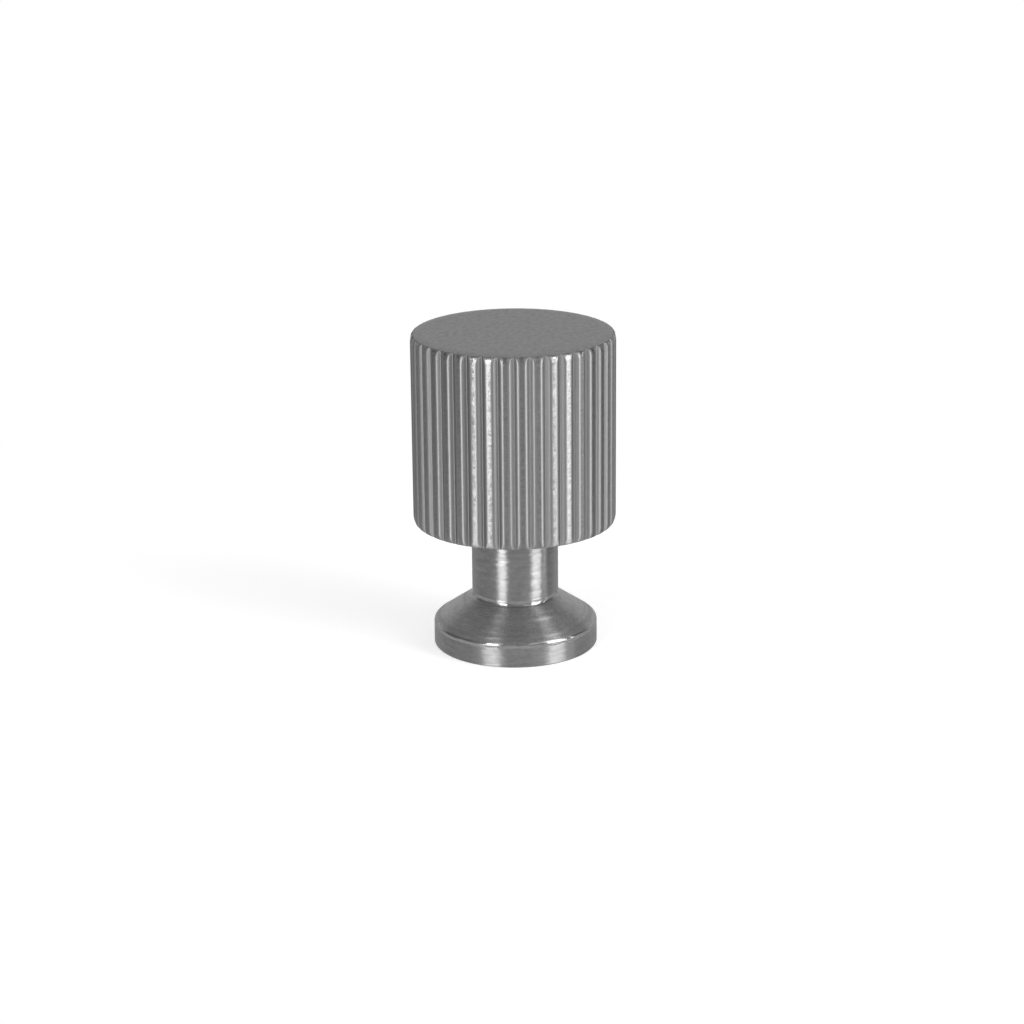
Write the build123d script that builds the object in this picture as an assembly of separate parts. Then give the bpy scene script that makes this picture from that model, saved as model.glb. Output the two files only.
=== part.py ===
from build123d import *
import os
from math import copysign, cos, pi, radians, sin, tan

# Cabinet knob turned from one steel bar: a fluted head on a plain round neck and a coned foot,
# with a tapped blind hole in the underside for the screw that comes through the door.
# Frame: millimetres, +Z up the turning axis, origin at the centre of the foot's underside.

# Foot
foot_diameter = 20.3
rim_height = 3.05  # upright edge between the underside and the cone
cone_height = 3.3
base_chamfer = 0.15  # rim to underside
rim_round = 0.6  # rim to cone

# Neck
neck_diameter = 10.7
neck_length = 9.55  # top of the cone to the head's underside
cone_fillet = 0.5  # neck to cone

# Head
head_diameter = 25.0  # over the lands
head_length = 23.8
flute_count = 40
flute_depth = 0.41
flute_angle = 90.0  # between the two flanks of a flute
flute_bottom_radius = 0.15
land_width = 0.46  # flat left between two flutes, before their rounded shoulders
top_drop = 0.28  # how far the slow curve at the head's top falls back from the lands
top_length = 1.0  # how far that curve runs down the head
top_chamfer = 0.2  # edge between that curve and the top face
bottom_drop = 0.2
bottom_length = 0.9
bottom_chamfer = 0.08

# Fixing hole, tapped M4 and drawn at its tapping size
tapping_diameter = 3.3
thread_depth = 12.0  # from the underside to the drill's shoulder
drill_point_angle = 118.0
mouth_diameter = 4.4
mouth_angle = 90.0

foot_radius = foot_diameter / 2
neck_radius = neck_diameter / 2
head_radius = head_diameter / 2
flank_slope = radians(90 - flute_angle / 2)
cone_top = rim_height + cone_height
head_bottom = cone_top + neck_length
head_top = head_bottom + head_length


def polar(radius, angle):
    """Point at this radius and angle, in radians, about the turning axis."""
    return Vector(radius * cos(angle), radius * sin(angle))


def shoulder_radius(half_flute):
    """Radius of the arc that touches the flute's flank, and the land where the land starts."""
    bottom_place = head_radius - flute_depth + flute_bottom_radius
    flank_distance = bottom_place * cos(flank_slope) - flute_bottom_radius
    share = cos(flank_slope + half_flute)
    return (flank_distance - head_radius * share) / (1 - share)


def flute_side(middle, edge):
    """Shoulder's start, middle and end, from the land at angle edge, and the flank's inner end."""
    radius = shoulder_radius(abs(edge - middle))
    outward = polar(1, edge)
    square = polar(1, middle - copysign(flank_slope, edge - middle))
    centre = outward * (head_radius - radius)
    shoulder = [centre + way * radius for way in (outward, (outward + square).normalized(), square)]
    bottom_centre = polar(head_radius - flute_depth + flute_bottom_radius, middle)
    return shoulder + [bottom_centre - square * flute_bottom_radius]


def flute_edges(middle, half_flute, half_land):
    """One flute and the land after it: shoulder, flank, bottom, flank, shoulder, land."""
    before = flute_side(middle, middle - half_flute)
    after = flute_side(middle, middle + half_flute)
    bottom = polar(head_radius - flute_depth, middle)
    land = [polar(head_radius, middle + half_flute + step * half_land) for step in (1, 2)]
    return [
        ThreePointArc(*before[:3]),
        Line(*before[2:]),
        ThreePointArc(before[3], bottom, after[3]),
        Line(after[3], after[2]),
        ThreePointArc(*reversed(after[:3])),
        ThreePointArc(after[0], *land),
    ]


def fluted_section():
    """The head's section across the axis, with one flute on +X."""
    pitch = 2 * pi / flute_count
    half_land = land_width / head_diameter
    half_flute = pitch / 2 - half_land
    edges = []
    for number in range(flute_count):
        edges += flute_edges(number * pitch, half_flute, half_land)
    return make_face(edges)


def head():
    """Fluted bar, with both ends turned back to a soft edge that the flutes run out through."""
    bar = Pos(0, 0, head_bottom) * extrude(fluted_section(), head_length)
    low, high = (head_radius, head_bottom + bottom_length), (head_radius, head_top - top_length)
    low_end, high_end = (head_radius - bottom_drop, head_bottom), (head_radius - top_drop, head_top)
    side = make_face(
        [
            Polyline((0, head_top), (0, head_bottom), low_end),
            TangentArc(low, low_end, tangent=(0, -1)),
            Line(low, high),
            TangentArc(high, high_end, tangent=(0, 1)),
            Line(high_end, (0, head_top)),
        ]
    )
    for place, length in ((low_end, bottom_chamfer), (high_end, top_chamfer)):
        side = chamfer(side.vertices().sort_by_distance(place)[0], length)
    return bar & revolve(Plane.XZ * side, Axis.Z)


def stem():
    """Foot, cone and neck as one turned shape that ends inside the head."""
    root = (head_bottom + head_top) / 2
    outline = make_face(
        Polyline(
            (0, 0),
            (foot_radius - base_chamfer, 0),
            (foot_radius, base_chamfer),
            (foot_radius, rim_height),
            (neck_radius, cone_top),
            (neck_radius, root),
            (0, root),
            close=True,
        )
    )
    for place, radius in (
        ((foot_radius, rim_height), rim_round),
        ((neck_radius, cone_top), cone_fillet),
    ):
        corner = outline.vertices().sort_by_distance(place)[0]
        outline = fillet(corner, radius)
    return revolve(Plane.XZ * outline, Axis.Z)


def fixing_hole():
    """Tapping bore with its drill point and the sunk mouth."""
    bore = tapping_diameter / 2
    mouth = mouth_diameter / 2
    mouth_depth = (mouth - bore) / tan(radians(mouth_angle / 2))
    point_depth = bore / tan(radians(drill_point_angle / 2))
    section = Polyline(
        (0, 0),
        (mouth, 0),
        (bore, mouth_depth),
        (bore, thread_depth),
        (0, thread_depth + point_depth),
        close=True,
    )
    return revolve(Plane.XZ * make_face(section), Axis.Z)


def knob_body():
    return head() + stem() - fixing_hole()


os.makedirs("parts", exist_ok=True)
export_step(knob_body(), "parts/knob_body.step")
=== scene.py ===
import math

import bpy
import numpy as np
from mathutils import Matrix, Vector


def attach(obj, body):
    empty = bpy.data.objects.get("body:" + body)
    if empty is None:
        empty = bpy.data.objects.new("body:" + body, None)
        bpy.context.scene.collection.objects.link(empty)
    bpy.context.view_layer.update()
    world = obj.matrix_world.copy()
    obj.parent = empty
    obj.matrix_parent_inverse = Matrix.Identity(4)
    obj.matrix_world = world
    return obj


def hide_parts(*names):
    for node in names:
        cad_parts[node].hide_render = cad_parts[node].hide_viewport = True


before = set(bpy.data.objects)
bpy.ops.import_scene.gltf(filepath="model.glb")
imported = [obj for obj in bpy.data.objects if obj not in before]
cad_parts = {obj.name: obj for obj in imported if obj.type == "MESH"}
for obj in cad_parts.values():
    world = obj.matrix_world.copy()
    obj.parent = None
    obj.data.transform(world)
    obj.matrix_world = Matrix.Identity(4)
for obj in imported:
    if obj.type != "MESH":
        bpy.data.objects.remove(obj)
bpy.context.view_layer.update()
mm = 0.001
print("frame loaded", sorted(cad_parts))


# camera

cameraView = {
    "elevation": 17.93,  # degrees above the floor
    "distance": 344.0,  # mm from the target
    "lens": 97.9,  # mm, on a sensor 36 mm wide
    "roll": -0.54,  # degrees, the horizon's tilt
    "target": (-0.32, 0.0, 16.73),  # mm
    "near": 10.0,  # mm, where the view starts
}


def makeCamera(view):
    # the camera's axes are right, up and backwards; roll turns right and up about the view line
    tilt, roll = math.radians(view["elevation"]), math.radians(view["roll"])
    back = Vector((0, -math.cos(tilt), math.sin(tilt)))
    level, rise = Vector((1, 0, 0)), Vector((0, math.sin(tilt), math.cos(tilt)))
    right = level * math.cos(roll) + rise * math.sin(roll)
    up = rise * math.cos(roll) - level * math.sin(roll)
    place = (Vector(view["target"]) + back * view["distance"]) * mm
    turn = Matrix((right, up, back)).transposed().to_4x4()
    data = bpy.data.cameras.new("camera")
    data.lens = view["lens"]
    data.clip_start = view["near"] * mm
    camera = bpy.data.objects.new("camera", data)
    camera.matrix_world = Matrix.Translation(place) @ turn
    bpy.context.scene.collection.objects.link(camera)
    bpy.context.scene.camera = camera


makeCamera(cameraView)
print("camera placed")


# shader maths

class Wire:
    # one output of a node tree; arithmetic on it adds Math nodes

    def __init__(self, tree, socket=None):
        self.tree = tree
        self.socket = socket

    def node(self, kind, settings={}, inputs={}, output=0):
        # any node: its settings first, then the values or links of its sockets
        made = self.tree.nodes.new(kind)
        for name, value in settings.items():
            setattr(made, name, value)
        for name, value in inputs.items():
            if isinstance(value, Wire):
                self.tree.links.new(value.socket, made.inputs[name])
            else:
                made.inputs[name].default_value = value
        return Wire(self.tree, made.outputs[output] if made.outputs else None)

    def math(self, operation, *values):
        return self.node("ShaderNodeMath", {"operation": operation}, dict(enumerate(values)))

    def __add__(self, other):
        return self.math("ADD", self, other)

    def __sub__(self, other):
        return self.math("SUBTRACT", self, other)

    def __rsub__(self, other):
        return self.math("SUBTRACT", other, self)

    def __mul__(self, other):
        return self.math("MULTIPLY", self, other)

    def __truediv__(self, other):
        return self.math("DIVIDE", self, other)

    __radd__ = __add__
    __rmul__ = __mul__

    def ramp(self, low, high):
        # 0 below low, 1 above high, and an S-curve between them
        return self.node("ShaderNodeMapRange", {"interpolation_type": "SMOOTHSTEP"},
                         {"Value": self, "From Min": low, "From Max": high})

    def parts(self):
        # x, y and z of a vector
        split = self.node("ShaderNodeSeparateXYZ", inputs={"Vector": self}).socket.node
        return [Wire(self.tree, output) for output in split.outputs]


def newTree(owner):
    owner.use_nodes = True
    owner.node_tree.nodes.clear()
    return Wire(owner.node_tree)


def placeInMm(start):
    # x, y and z on the piece
    return [value * 1000 for value in start.node("ShaderNodeTexCoord", output="Object").parts()]


def fromAxis(x, y):
    # distance from the turning axis
    return x.math("SQRT", x * x + y * y)


# steel: lengths are in mm, a scale is changes per mm across the marks, and a wander is
# changes per mm around them

ringLook = {  # shared by all the finishes
    "fleckScale": 3.0,
    "layers": 3.0,  # layers of noise, each finer than the one before
    "bandLayers": 2.0,
    "ridgeLayers": 0.0,
    "layerFade": 0.6,  # strength of each layer against the one before
}
turnedLook = {
    "colour": 0.248,
    "speckle": 0.56, "fleckWander": 1.6,  # flecks of lighter and darker metal
    "edgeTint": 0.5,  # shine at a grazing angle
    "grain": 1.0,  # how far the marks draw the shine out across them
    "metal": 0.85,
    "roughness": 0.36,
    "patchy": 0.26, "patchScale": 2.2, "patchWander": 0.35,  # patches of rougher metal
    "zones": {  # from and to above the base, and the roughness and the metal between them
        "rim": (0.0, 2.5, 0.40, 0.85),
        "round": (2.5, 3.1, 0.13, 0.85),
        "cone": (3.1, 6.15, 0.275, 0.74),
        "fillet": (6.15, 6.9, 0.17, 0.85),
    },
    "zoneFade": 0.05,  # to either side of the line between two zones
    "bandDepth": 0.13, "bandScale": 1.4, "bandWander": 0.2,  # rings left by the lathe tool
    "lineDepth": 0.02, "lineScale": 4.0, "lineWander": 0.8,  # fine lines over them
    "ridgeDepth": 0.04, "ridgeScale": 2.4, "ridgeWander": 0.03,  # bolder rings on the cone
    "rungFrom": 0.56, "rungTo": 0.66, "rungRough": 0.15,  # the highest of them are duller
    "coneFade": 0.3,
    "coneEven": 0.8,  # share of the patches that the cone is spared
    "lipDepth": 0.03, "lipHeight": 0.40, "lipFade": 0.1,  # lip along the rim's lower edge
}
landLook = {
    "colour": 0.212,
    "speckle": 0.8, "fleckWander": 1.6,
    "edgeTint": 0.5,
    "grain": 0.95,
    "metal": 0.9,
    "roughness": 0.36,
    "patchy": 0.22, "patchScale": 4.0, "patchWander": 1.0,
    "wornRoughness": 0.22, "wornFrom": 39.0, "wornFade": 0.15,  # polished by use at the top
    "bandDepth": 0.10, "bandScale": 1.5, "bandWander": 0.4,
    "lineDepth": 0.03, "lineScale": 3.0, "lineWander": 1.6,
}
fluteLook = {
    "colour": 0.203,
    "speckle": 0.16, "fleckWander": 1.6,
    "edgeTint": 0.5,
    "grain": 0.4,
    "metal": 0.85,
    "roughness": 0.37,
    "hollowRoughness": 0.62, "smoothTo": 0.05, "roughFrom": 0.15,  # depths below the lands
    "drawnDepth": 0.002, "drawnScale": 0.4, "drawnWander": 12.0,  # lines drawn along a flute
}
facingLook = {
    "colour": 0.31,
    "speckle": 0.96, "fleckWander": 1.8,
    "edgeTint": 0.5,
    "grain": 0.0,
    "metal": 0.85,
    "roughness": 0.46,
    "patchy": 0.10, "patchScale": 1.5, "patchWander": 0.5,
    "lineDepth": 0.03, "lineScale": 4.0, "lineWander": 0.4,
}


def ringNoise(start, x, y, across, scale, wander, layers=ringLook["layers"]):
    # noise drawn out into rings: quick across them and slow around them
    spot = start.node("ShaderNodeCombineXYZ",
                      inputs={"X": x * wander, "Y": y * wander, "Z": across * scale})
    return start.node("ShaderNodeTexNoise", inputs={
        "Vector": spot, "Scale": 1.0, "Detail": layers, "Roughness": ringLook["layerFade"]})


def marks(start, x, y, across, look):
    # the tool's marks as a height: bands, with fine lines over them
    band = ringNoise(start, x, y, across, look["bandScale"], look["bandWander"],
                     ringLook["bandLayers"])
    line = ringNoise(start, x, y, across, look["lineScale"], look["lineWander"])
    return band * look["bandDepth"] + line * look["lineDepth"]


def steel(name, look, surface):
    # a finish; surface is the function that gives its roughness, height and metal
    material = bpy.data.materials.new(name)
    start = newTree(material)
    roughness, height, metal = surface(start, look)
    x, y, z = placeInMm(start)
    fleck = ringNoise(start, x, y, z, ringLook["fleckScale"], look["fleckWander"])
    colour = look["colour"] * (1 + (fleck - 0.5) * look["speckle"])
    grey = start.node("ShaderNodeCombineColor", inputs={0: colour, 1: colour, 2: colour})
    normal = start.node("ShaderNodeBump", inputs={
        "Strength": 1.0, "Distance": mm, "Height": height})
    shader = start.node("ShaderNodeBsdfPrincipled", inputs={
        "Base Color": grey,
        "Metallic": metal,
        "Roughness": roughness,
        "Specular Tint": (look["edgeTint"],) * 3 + (1,),
        "Anisotropic": look["grain"],
        "Anisotropic Rotation": 0.25,
        "Normal": normal,
    })
    start.node("ShaderNodeOutputMaterial", inputs={"Surface": shader})
    return material


def turnedSurface(start, look):
    # the stem: each zone has its own roughness, and the cone has bolder rings
    x, y, z = placeInMm(start)
    rough, metal, fade = look["roughness"], look["metal"], look["zoneFade"]
    for low, high, zoneRough, zoneMetal in look["zones"].values():
        zone = z.ramp(low - fade, low + fade) * (1 - z.ramp(high - fade, high + fade))
        rough = rough + zone * (zoneRough - look["roughness"])
        metal = metal + zone * (zoneMetal - look["metal"])
    low, high, *_ = look["zones"]["cone"]
    cone = z.ramp(low, low + look["coneFade"]) * (1 - z.ramp(high - look["coneFade"], high))
    ridge = ringNoise(start, x, y, z, look["ridgeScale"], look["ridgeWander"],
                      ringLook["ridgeLayers"])
    rough = rough + ridge.ramp(look["rungFrom"], look["rungTo"]) * cone * look["rungRough"]
    patch = ringNoise(start, x, y, z, look["patchScale"], look["patchWander"])
    rough = rough + (patch - 0.5) * look["patchy"] * (1 - cone * look["coneEven"])
    lip = 1 - z.ramp(look["lipHeight"] - look["lipFade"], look["lipHeight"])
    height = marks(start, x, y, z, look) + ridge * cone * look["ridgeDepth"]
    return rough, height + lip * look["lipDepth"], metal


def landSurface(start, look):
    # the lands: smoother at the head's top edge
    x, y, z = placeInMm(start)
    worn = z.ramp(look["wornFrom"] - look["wornFade"], look["wornFrom"] + look["wornFade"])
    rough = look["roughness"] + worn * (look["wornRoughness"] - look["roughness"])
    patch = ringNoise(start, x, y, z, look["patchScale"], look["patchWander"])
    return rough + (patch - 0.5) * look["patchy"], marks(start, x, y, z, look), look["metal"]


def fluteSurface(start, look):
    # the flutes: rougher in the hollow than on the shoulders
    x, y, z = placeInMm(start)
    hollow = (knobSizes["head"] - fromAxis(x, y)).ramp(look["smoothTo"], look["roughFrom"])
    rough = look["roughness"] + hollow * (look["hollowRoughness"] - look["roughness"])
    drawn = ringNoise(start, x, y, z, look["drawnScale"], look["drawnWander"])
    return rough, drawn * look["drawnDepth"], look["metal"]


def facingSurface(start, look):
    # the faced ends: their marks are rings about the axis
    x, y, z = placeInMm(start)
    radius = fromAxis(x, y)
    patch = ringNoise(start, x, y, radius, look["patchScale"], look["patchWander"])
    line = ringNoise(start, x, y, radius, look["lineScale"], look["lineWander"],
                     ringLook["bandLayers"])
    rough = look["roughness"] + (patch - 0.5) * look["patchy"]
    return rough, line * look["lineDepth"], look["metal"]


# knob

knobSizes = {  # mm and degrees
    "head": 12.5,  # radius over the lands
    "headLength": 23.8,
    "flutes": 40,
    "fluteDepth": 0.41,
    "fluteAngle": 90.0,  # between the two flanks of a flute
    "fluteBottom": 0.15,  # radius at the bottom of a flute
    "land": 0.46,  # width left flat between two flutes
    # each end of the head: a slow curve that drops by so much over a length, the round after
    # it, and a wide dome that slopes down to the face's edge by the tilt
    "topEnd": {"drop": 0.28, "length": 1.0, "round": 0.35, "dome": 8.0, "tilt": 9.0},
    "bottomEnd": {"drop": 0.22, "length": 0.9, "round": 0.30, "dome": 4.0, "tilt": 4.0},
    "blend": 0.10,  # width of the soft line where an end's curve meets a flute
    "neck": 5.35,  # radius
    "neckLength": 9.55,
    "coneHeight": 3.3,
    "coneFillet": 0.5,
    "foot": 10.15,  # radius
    "rimHeight": 3.05,
    "rimRound": 0.6,
    "baseEdge": 0.15,  # chamfer
    "edgeRound": 0.12,  # on the base's chamfer and at the neck's top
    "mouth": 2.2,  # radius, sunk at 45 degrees
    "bore": 1.65,  # radius
    "boreDepth": 12.0,
    "pointAngle": 118.0,
    "threadPitch": 0.7,
    "threadDepth": 0.35,
    "threadLength": 10.4,
    "threadAngle": 60.0,
}
knobMesh = {  # how finely the surface is worked out
    "bottomPoints": 5,  # points across a flute's bottom, its flank, its shoulder and a land
    "flankPoints": 3,
    "shoulderPoints": 7,
    "landPoints": 5,
    "slowRows": 13,  # rows on the slow curve, the round and the dome of an end
    "roundRows": 9,
    "domeRows": 5,
    "topShares": (0.3, 0.62, 0.85, 0.95, 0.985, 0.997),  # rings on the top, by its radius
    "underShares": (0.997, 0.985, 0.95),  # and on the face below the head
    "neckMargin": 0.8,  # mm from the neck to the first ring about it, and on to the next
    "cornerPoints": 9,  # on each rounded corner of the stem
    "guard": 0.03,  # mm from a corner to the points that keep the flats beside it flat
    "mouthMargin": 1.0,  # mm from the mouth to the rings about it
    "mouthGuard": 0.05,
    "threadStart": 0.02,  # mm above the base, where the thread's rows start
    "threadRows": 14,  # in one pitch
    "tipRing": (0.02, 0.012),  # mm, radius and drop of the last ring below the point
    "crispFrom": 32.0,  # degrees, edges that turn by more are shaded crisp
}


def fluteLines(s):
    # a flute's section on one side of its middle: the angles where the flank, the shoulder and
    # the land start, the flank's slope, its line's distance from the axis, and the radius of
    # the shoulder, tangent to both
    slope = math.radians(90 - s["fluteAngle"] / 2)
    bottom = s["fluteBottom"]
    far = s["head"] - s["fluteDepth"] + bottom
    line = far * math.cos(slope) - bottom
    land = np.pi / s["flutes"] - s["land"] / 2 / s["head"]
    share = math.cos(slope + land)
    shoulder = (line - s["head"] * share) / (1 - share)
    near = s["head"] - shoulder
    flankStart = math.atan2(bottom * math.sin(slope), far - bottom * math.cos(slope))
    flankEnd = math.atan2(near * math.sin(land) - shoulder * math.sin(slope),
                          near * math.cos(land) + shoulder * math.cos(slope))
    return (flankStart, flankEnd, land), slope, line, shoulder


def fluteAngles(s, m):
    # angles of the grid lines: closer together where the section bends
    (flank, shoulder, land), *_ = fluteLines(s)
    pitch = 2 * np.pi / s["flutes"]
    bottom = np.linspace(-flank, flank, m["bottomPoints"])
    side = np.concatenate([np.linspace(flank, shoulder, m["flankPoints"])[1:],
                           np.linspace(shoulder, land, m["shoulderPoints"])[1:]])
    flat = np.linspace(land, pitch - land, m["landPoints"])[1:-1]
    one = np.concatenate([-side[::-1], bottom, side, flat])
    return (np.arange(s["flutes"])[:, None] * pitch + one).ravel()


def fluteRadius(s, angle):
    # distance from the axis to the fluted section: a ray from the axis meets the bottom's
    # circle on its near side, the flank's line, the shoulder's circle on its far side, or
    # the land
    (flank, rise, land), slope, line, shoulder = fluteLines(s)
    pitch = 2 * np.pi / s["flutes"]
    off = np.abs((angle + pitch / 2) % pitch - pitch / 2)
    far = s["head"] - s["fluteDepth"] + s["fluteBottom"]
    dip = np.sqrt(np.maximum(s["fluteBottom"] ** 2 - (far * np.sin(off)) ** 2, 0))
    near, turn = s["head"] - shoulder, off - land
    bulge = np.sqrt(np.maximum(shoulder ** 2 - (near * np.sin(turn)) ** 2, 0))
    return np.select([off < flank, off < rise, off < land],
                     [far * np.cos(off) - dip, line / np.cos(off + slope),
                      near * np.cos(turn) + bulge], s["head"])


def headEnd(s, m, end, angle):
    # radius and distance from the end face, row by row: a slow arc falls back from the lands,
    # a tangent round turns over, a wide tangent dome runs out into the face, and wherever the
    # flute lies deeper it wins; where the two meet they blend, so that the smaller radius
    # wins, less a quarter of the blend's width at the meeting line
    arc = (end["length"] ** 2 + end["drop"] ** 2) / 2 / end["drop"]
    tilt, wide = math.radians(end["tilt"]), end["dome"] - end["round"]
    sunk = end["dome"] - wide * math.cos(tilt)
    across = math.sqrt((arc - end["round"]) ** 2 - (end["length"] - sunk) ** 2)
    turn = math.atan2(end["length"] - sunk, across)
    slow = np.linspace(0, turn, m["slowRows"])[:, None]
    quick = np.linspace(turn, np.pi / 2 - tilt, m["roundRows"] + 1)[1:, None]
    dome = np.linspace(np.pi / 2 - tilt, np.pi / 2, m["domeRows"] + 1)[1:, None]
    barrel = s["head"] - arc + np.vstack([
        arc * np.cos(slow),
        across + end["round"] * np.cos(quick),
        across - wide * math.sin(tilt) + end["dome"] * np.cos(dome)])
    level = np.vstack([
        end["length"] - arc * np.sin(slow),
        sunk - end["round"] * np.sin(quick),
        end["dome"] * (1 - np.sin(dome))])
    # the blend opens out from nothing where the slow arc starts
    width = s["blend"] * np.minimum((end["length"] - level) / s["blend"] / 4, 1) + 1e-9
    fluted = fluteRadius(s, angle)[None, :]
    mix = np.clip(0.5 + (barrel - fluted) / 2 / width, 0, 1)
    return barrel * (1 - mix) + fluted * mix - width * mix * (1 - mix), level


def roundedPath(corners, m):
    # a path through corners (x, z, radius): each corner with a radius becomes a tangent arc,
    # with a point a hair before and after it so that the flat beside it stays flat
    guard = m["guard"]
    points = [np.array(corners[0][:2])]
    for (ax, az, _), (bx, bz, radius), (cx, cz, _) in zip(corners, corners[1:], corners[2:]):
        corner = np.array([bx, bz])
        way, leave = corner - np.array([ax, az]), np.array([cx, cz]) - corner
        way, leave = way / np.linalg.norm(way), leave / np.linalg.norm(leave)
        turn = math.atan2(way[0] * leave[1] - way[1] * leave[0], way @ leave)
        cut = radius * math.tan(abs(turn) / 2)
        arm = np.array([way[1], -way[0]]) * math.copysign(radius, turn)
        centre = corner - way * cut - arm
        arc = [centre + np.array([arm[0] * math.cos(a) - arm[1] * math.sin(a),
                                  arm[0] * math.sin(a) + arm[1] * math.cos(a)])
               for a in np.linspace(0, turn, m["cornerPoints"])]
        points += [arc[0] - way * guard, *arc, arc[-1] + leave * guard]
    points.append(np.array(corners[-1][:2]))
    return np.array(points)


def threadRadius(s, angle, height):
    # the bore's radius, opened by a groove that climbs one pitch a turn, is flat over an
    # eighth of the pitch, and runs out before the bore ends
    flank = s["threadDepth"] * math.tan(math.radians(s["threadAngle"] / 2))
    turns = height / s["threadPitch"] - angle / 2 / np.pi
    across = np.abs(turns % 1 - 0.5) * s["threadPitch"]
    groove = np.clip((flank + s["threadPitch"] / 16 - across) / flank, 0, 1)
    fade = np.clip((s["threadLength"] - height) / s["threadPitch"], 0, 1)
    return np.maximum(s["bore"] + s["threadDepth"] * groove * fade, s["mouth"] - height)


def ringPoints(radius, angle, height):
    # x is the radius times the angle's cosine, and y the radius times its sine
    radius, angle, height = np.broadcast_arrays(radius, angle, height)
    return np.stack([radius * np.cos(angle), radius * np.sin(angle), height], -1)


def knobRings(s, m):
    # rings from the middle of the top, down the outside, across the base and up the hole to
    # the drill's point; each is (points, finish of the band that follows it)
    angle = fluteAngles(s, m)
    bottom = s["rimHeight"] + s["coneHeight"] + s["neckLength"]
    top = bottom + s["headLength"]
    middle = angle + (np.roll(angle, -1) - angle) % (2 * np.pi) / 2
    columns = np.where(fluteRadius(s, middle) < s["head"], "flutes", "lands")

    # the head
    radius, level = headEnd(s, m, s["topEnd"], angle)
    rings = [(np.array([[0, 0, top]]), "facing")]
    for share in m["topShares"]:
        rings.append((ringPoints(radius[-1] * share, angle, top), "facing"))
    for k in reversed(range(len(level))):
        finish = "facing" if k >= len(level) - m["domeRows"] else columns
        rings.append((ringPoints(radius[k], angle, top - level[k]), finish))
    radius, level = headEnd(s, m, s["bottomEnd"], angle)
    for k in range(len(level)):
        finish = "facing" if k == len(level) - 1 else columns
        rings.append((ringPoints(radius[k], angle, bottom + level[k]), finish))
    for share in m["underShares"]:
        rings.append((ringPoints(radius[-1] * share, angle, bottom), "facing"))
    rings.append((ringPoints(s["neck"] + m["neckMargin"] * 2, angle, bottom), "facing"))

    # the stem, with a quarter as many points to a ring
    coarse = angle[0] + np.arange(len(angle) // 4) * 8 * np.pi / len(angle)
    stem = roundedPath([
        (s["neck"] + m["neckMargin"], bottom, 0),
        (s["neck"], bottom, s["edgeRound"]),
        (s["neck"], s["rimHeight"] + s["coneHeight"], s["coneFillet"]),
        (s["foot"], s["rimHeight"], s["rimRound"]),
        (s["foot"], s["baseEdge"], s["edgeRound"]),
        (s["foot"] - s["baseEdge"], 0, s["edgeRound"]),
        (s["mouth"] + m["mouthMargin"], 0, 0),
    ], m)
    for r, z in stem:
        rings.append((ringPoints(r, coarse, z), "turned"))

    # the hole, with a quarter as many again
    sparse = coarse[::4]
    rings.append((ringPoints(s["mouth"] + m["mouthGuard"], sparse, 0), "turned"))
    rings.append((ringPoints(s["mouth"], sparse, 0), "thread"))
    for z in np.arange(m["threadStart"], s["boreDepth"], s["threadPitch"] / m["threadRows"]):
        rings.append((ringPoints(threadRadius(s, sparse, z), sparse, z), "thread"))
    rings.append((ringPoints(s["bore"], sparse, s["boreDepth"]), "thread"))
    tip = s["boreDepth"] + s["bore"] / math.tan(math.radians(s["pointAngle"] / 2))
    tipRadius, tipDrop = m["tipRing"]
    rings.append((ringPoints(tipRadius, sparse, tip - tipDrop), "thread"))
    rings.append((np.array([[0, 0, tip]]), "thread"))
    return rings


def ringFaces(first, second, a, b):
    # faces between a ring of a points and the next of b: a fan at a pole, squares where they
    # match, and five triangles to each edge of the coarser ring where a is four times b
    i = np.arange(max(a, b) if 1 in (a, b) else min(a, b))
    j = (i + 1) % len(i)
    if a == 1:
        return [np.stack([0 * i + first, second + i, second + j], 1)]
    if b == 1:
        return [np.stack([first + i, 0 * i + second, first + j], 1)]
    if a == b:
        return [np.stack([first + i, second + i, second + j, first + j], 1)]
    outer = [first + (4 * i + k) % a for k in range(5)]
    left, right = second + i, second + j
    return [np.stack(corners, 1) for corners in (
        (outer[0], left, outer[1]), (outer[1], left, outer[2]), (outer[2], left, right),
        (outer[2], right, outer[3]), (outer[3], right, outer[4]))]


def makeKnob(s, m, finishes):
    rings = knobRings(s, m)
    names = list(finishes)
    starts = np.cumsum([0] + [len(points) for points, _ in rings])
    faces, slots = [], []
    for k in range(len(rings) - 1):
        blocks = ringFaces(starts[k], starts[k + 1], len(rings[k][0]), len(rings[k + 1][0]))
        for block in blocks:
            faces += block.tolist()
            slots += [names.index(name) for name in np.broadcast_to(rings[k][1], len(block))]
    mesh = bpy.data.meshes.new("turned_knob")
    mesh.from_pydata((np.vstack([points for points, _ in rings]) * mm).tolist(), [], faces)
    for material in finishes.values():
        mesh.materials.append(material)
    mesh.polygons.foreach_set("material_index", slots)
    mesh.polygons.foreach_set("use_smooth", [True] * len(faces))
    mesh.set_sharp_from_angle(angle=math.radians(m["crispFrom"]))
    mesh.validate()
    knob = bpy.data.objects.new("turned_knob", mesh)
    bpy.context.scene.collection.objects.link(knob)
    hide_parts("knob_body")
    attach(knob, "root")
    print("knob", len(mesh.vertices), "points", sum(len(f) - 2 for f in faces), "triangles")


makeKnob(knobSizes, knobMesh, {
    "facing": steel("faced_steel", facingLook, facingSurface),
    "flutes": steel("fluted_steel", fluteLook, fluteSurface),
    "lands": steel("turned_lands", landLook, landSurface),
    "turned": steel("turned_steel", turnedLook, turnedSurface),
    "thread": steel("tapped_steel", facingLook, facingSurface),
})


# floor, world and lights

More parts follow.
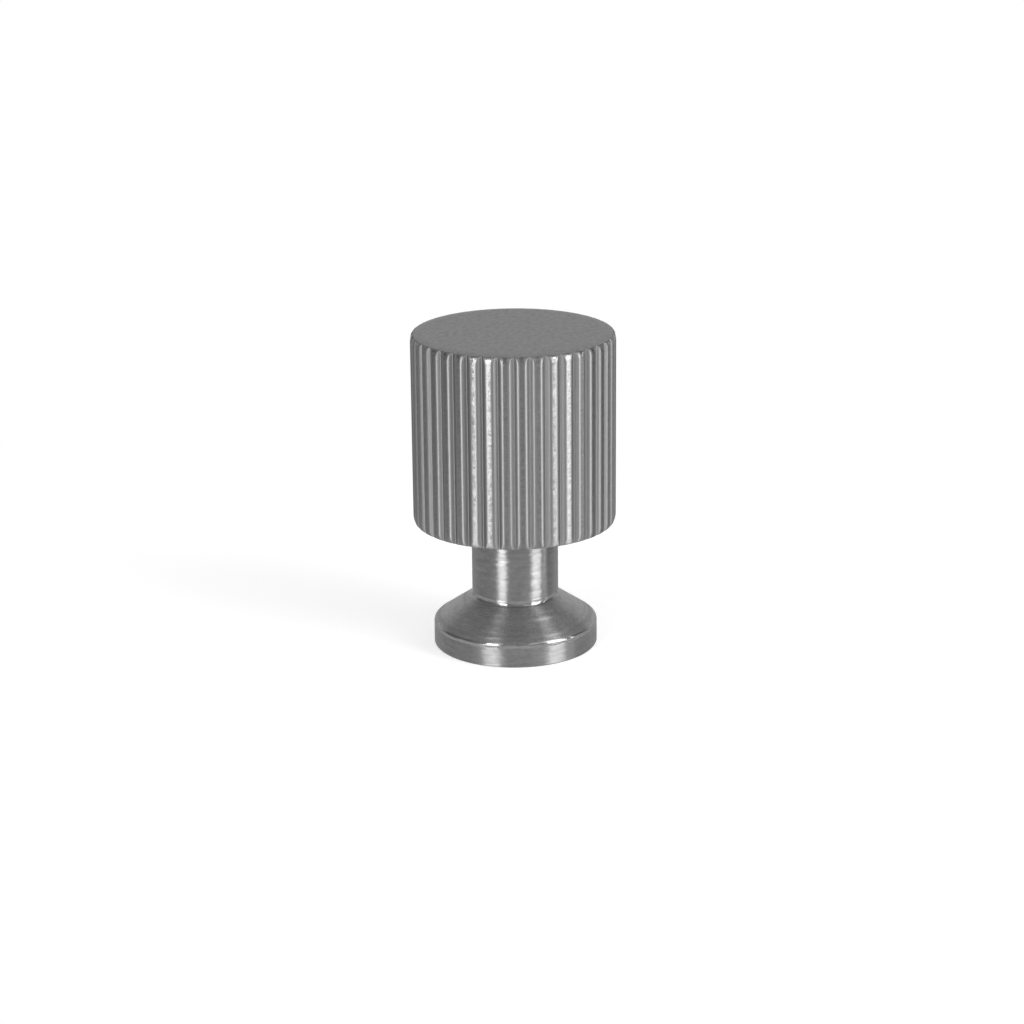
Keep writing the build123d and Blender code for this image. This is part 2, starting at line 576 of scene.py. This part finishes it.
studio = {
    "floor": 0.6,  # the floor's grey
    "floorHalf": 6000.0,  # mm, half of its side
    "floorSunk": 0.03,  # mm below the knob's base, so that the two never lie in one plane
    "floorLift": 0.56,  # added to what the camera sees of the floor near the knob
    "whiteFrom": 25.0,  # mm from the axis, where the floor starts to go over into white
    "whiteTo": 120.0,
    "mirrorFrom": 4.0,  # the same as metal and glass see it
    "mirrorTo": 14.0,
    "room": 0.58,  # brightness of the room above and in front, then of its other parts
    # an edge is where a part starts and is whole, as the cosine of the angle to its middle,
    # and a top is where it starts to fade and is gone, as the sine of the elevation
    "side": 0.22,
    "sideEdge": (0.8, 0.95),
    "sideTop": (0.45, 0.75),
    "backdrop": 1.5,
    "backdropEdge": (0.35, 0.75),
    "backdropTop": (0.2, 0.65),
    "horizon": 1.7,  # the foot of the backdrop
    "horizonTop": (0.12, 0.28),
    "flag": 0.2,  # the dark card on the right
    "flagAzimuth": 98.0,  # degrees
    "flagEdge": (10.0, 8.0),  # degrees from its middle
    "flagTop": (0.5, 0.8),
    "boxDistance": 600.0,  # mm from the axis to the softboxes
}
# azimuths, from the camera to the right, and widths are in degrees, the rest is in mm
softboxes = {
    "softbox_left": {"azimuth": -33.0, "width": 19.5, "low": 0, "high": 330, "radiance": 11.2},
    "softbox_left_top": {
        "azimuth": -33.0, "width": 19.5, "low": 330, "high": 700, "radiance": 0.6},
    "softbox_right": {"azimuth": 58.6, "width": 24.5, "low": 0, "high": 330, "radiance": 9.0},
    "softbox_right_top": {
        "azimuth": 58.6, "width": 24.5, "low": 330, "high": 700, "radiance": 5.0},
    "softbox_fill": {"azimuth": 33.0, "width": 24.0, "low": 330, "high": 700, "radiance": 1.2},
    "strip_right": {"azimuth": 83.0, "width": 2.0, "low": 0, "high": 330, "radiance": 10.0},
}
floorCards = {  # sectors that lie on the floor and only mirrors see
    "card_left": {"azimuth": -36.2, "width": 20.4, "from": 21, "radiance": 3.5},
    "card_right": {"azimuth": 52.0, "width": 26.0, "from": 21, "radiance": 3.2},
    "card_thin": {"azimuth": 83.0, "width": 2.0, "from": 20, "radiance": 2.4},
    "card_dark": {"azimuth": 97.0, "width": 18.0, "from": 26, "radiance": 0.45},
    "card_dark_far": {"azimuth": 116.0, "width": 20.0, "from": 60, "radiance": 0.4},
    "card_grey_left": {"azimuth": -105.0, "width": 86.0, "from": 55, "radiance": 0.6},
    "card_back": {"azimuth": 180.0, "width": 20.0, "from": 30, "radiance": 2.4},
    "card_front": {
        "azimuth": 5.0, "width": 134.0, "from": 118, "to": 580, "lift": 0.2, "radiance": 0.6},
}
cardRule = {  # for every card that says nothing else
    "to": 590,
    "lift": 0.3,  # above the floor
    "column": 5.0,  # degrees to a face
}


def seenRays(start):
    # 1 on rays from the camera, and 1 on those that metal or glass sends on
    camera, glossy, through = [start.node("ShaderNodeLightPath", output=name) for name in (
        "Is Camera Ray", "Is Glossy Ray", "Is Transmission Ray")]
    return camera, glossy + through


def makeFloor(look):
    # pale near the knob and white further out; the camera sees through it from below
    side, level = look["floorHalf"] * mm, -look["floorSunk"] * mm
    corners = [(x * side, y * side, level) for x, y in ((-1, -1), (1, -1), (1, 1), (-1, 1))]
    mesh = bpy.data.meshes.new("floor")
    mesh.from_pydata(corners, [], [(0, 1, 2, 3)])
    floor = bpy.data.objects.new("floor", mesh)
    bpy.context.scene.collection.objects.link(floor)
    material = bpy.data.materials.new("floor")
    start = newTree(material)
    x, y, z = placeInMm(start)
    radius = fromAxis(x, y)
    camera, mirror = seenRays(start)
    plain = start.node("ShaderNodeBsdfDiffuse", inputs={"Color": (look["floor"],) * 3 + (1,)})
    lift = start.node("ShaderNodeEmission", inputs={
        "Strength": (camera + mirror) * look["floorLift"]})
    near = start.node("ShaderNodeAddShader", inputs={0: plain, 1: lift})
    white = start.node("ShaderNodeEmission", inputs={"Strength": 1.0})
    far = camera * radius.ramp(look["whiteFrom"], look["whiteTo"])
    far = far + mirror * radius.ramp(look["mirrorFrom"], look["mirrorTo"])
    above = start.node("ShaderNodeMixShader", inputs={0: far, 1: near, 2: white})
    below = camera * start.node("ShaderNodeNewGeometry", output="Backfacing")
    clear = start.node("ShaderNodeBsdfTransparent")
    surface = start.node("ShaderNodeMixShader", inputs={0: below, 1: above, 2: clear})
    start.node("ShaderNodeOutputMaterial", inputs={"Surface": surface})
    mesh.materials.append(material)


def makeWorld(look):
    # the room's brightness by direction; the camera sees it white
    world = bpy.data.worlds.new("studio")
    bpy.context.scene.world = world
    start = newTree(world)
    x, y, z = start.node("ShaderNodeTexCoord", output="Generated").parts()
    level = fromAxis(x, y)
    behind = (y / level).ramp(*look["backdropEdge"])
    foot = behind * (1 - z.ramp(*look["horizonTop"]))
    behind = behind * (1 - z.ramp(*look["backdropTop"]))
    toFlag = math.radians(look["flagAzimuth"])
    facing = (x * math.sin(toFlag) - y * math.cos(toFlag)) / level
    flag = facing.ramp(*(math.cos(math.radians(angle)) for angle in look["flagEdge"]))
    flag = flag * (1 - z.ramp(*look["flagTop"]))
    side = x.math("ABSOLUTE", x / level).ramp(*look["sideEdge"])
    side = side * (1 - z.ramp(*look["sideTop"]))
    bright = look["room"] + side * (look["side"] - look["room"])
    bright = bright * (1 - behind) + behind * look["backdrop"]
    bright = bright + foot * (look["horizon"] - look["backdrop"])
    bright = bright * (1 - flag) + flag * look["flag"]
    seen = start.node("ShaderNodeLightPath", output="Is Camera Ray")
    light = start.node("ShaderNodeBackground", inputs={"Strength": bright})
    white = start.node("ShaderNodeBackground", inputs={"Color": (1, 1, 1, 1)})
    surface = start.node("ShaderNodeMixShader", inputs={0: seen, 1: light, 2: white})
    start.node("ShaderNodeOutputWorld", inputs={"Surface": surface})


def makeSoftbox(name, box, distance):
    # an upright panel that faces the knob
    width = 2 * distance * math.tan(math.radians(box["width"] / 2)) * mm
    height = (box["high"] - box["low"]) * mm
    azimuth = math.radians(box["azimuth"])
    away = Vector((math.sin(azimuth), -math.cos(azimuth), 0))
    place = away * distance * mm + Vector((0, 0, box["low"] * mm + height / 2))
    turn = away.to_track_quat("Z", "Y").to_matrix().to_4x4()
    data = bpy.data.lights.new(name, "AREA")
    data.shape = "RECTANGLE"
    data.size = width
    data.size_y = height
    data.energy = box["radiance"] * math.pi * width * height
    light = bpy.data.objects.new(name, data)
    light.matrix_world = Matrix.Translation(place) @ turn
    light.visible_camera = False
    bpy.context.scene.collection.objects.link(light)


def makeCard(name, card):
    # a sector of a ring: the angle runs across it, and the radius from one end to the other
    half = math.radians(card["width"] / 2)
    columns = 2 + int(card["width"] / card["column"])
    angle = math.radians(card["azimuth"] - 90) + np.linspace(-half, half, columns)
    ring = np.array([card["from"], card["to"]])[:, None] * mm
    points = ringPoints(ring, angle, card["lift"] * mm).reshape(-1, 3)
    i = np.arange(columns - 1)
    faces = np.stack([i, i + columns, i + columns + 1, i + 1], 1)
    mesh = bpy.data.meshes.new(name)
    mesh.from_pydata(points.tolist(), [], faces.tolist())
    material = bpy.data.materials.new(name)
    start = newTree(material)
    glow = start.node("ShaderNodeEmission", inputs={"Strength": card["radiance"]})
    start.node("ShaderNodeOutputMaterial", inputs={"Surface": glow})
    mesh.materials.append(material)
    board = bpy.data.objects.new(name, mesh)
    board.visible_camera = board.visible_diffuse = board.visible_shadow = False
    bpy.context.scene.collection.objects.link(board)


makeFloor(studio)
makeWorld(studio)
print("floor and world made")
for name, card in floorCards.items():
    makeCard(name, {**cardRule, **card})
for name, box in softboxes.items():
    makeSoftbox(name, box, studio["boxDistance"])
bpy.context.scene.view_settings.view_transform = "Standard"
print("studio lit")
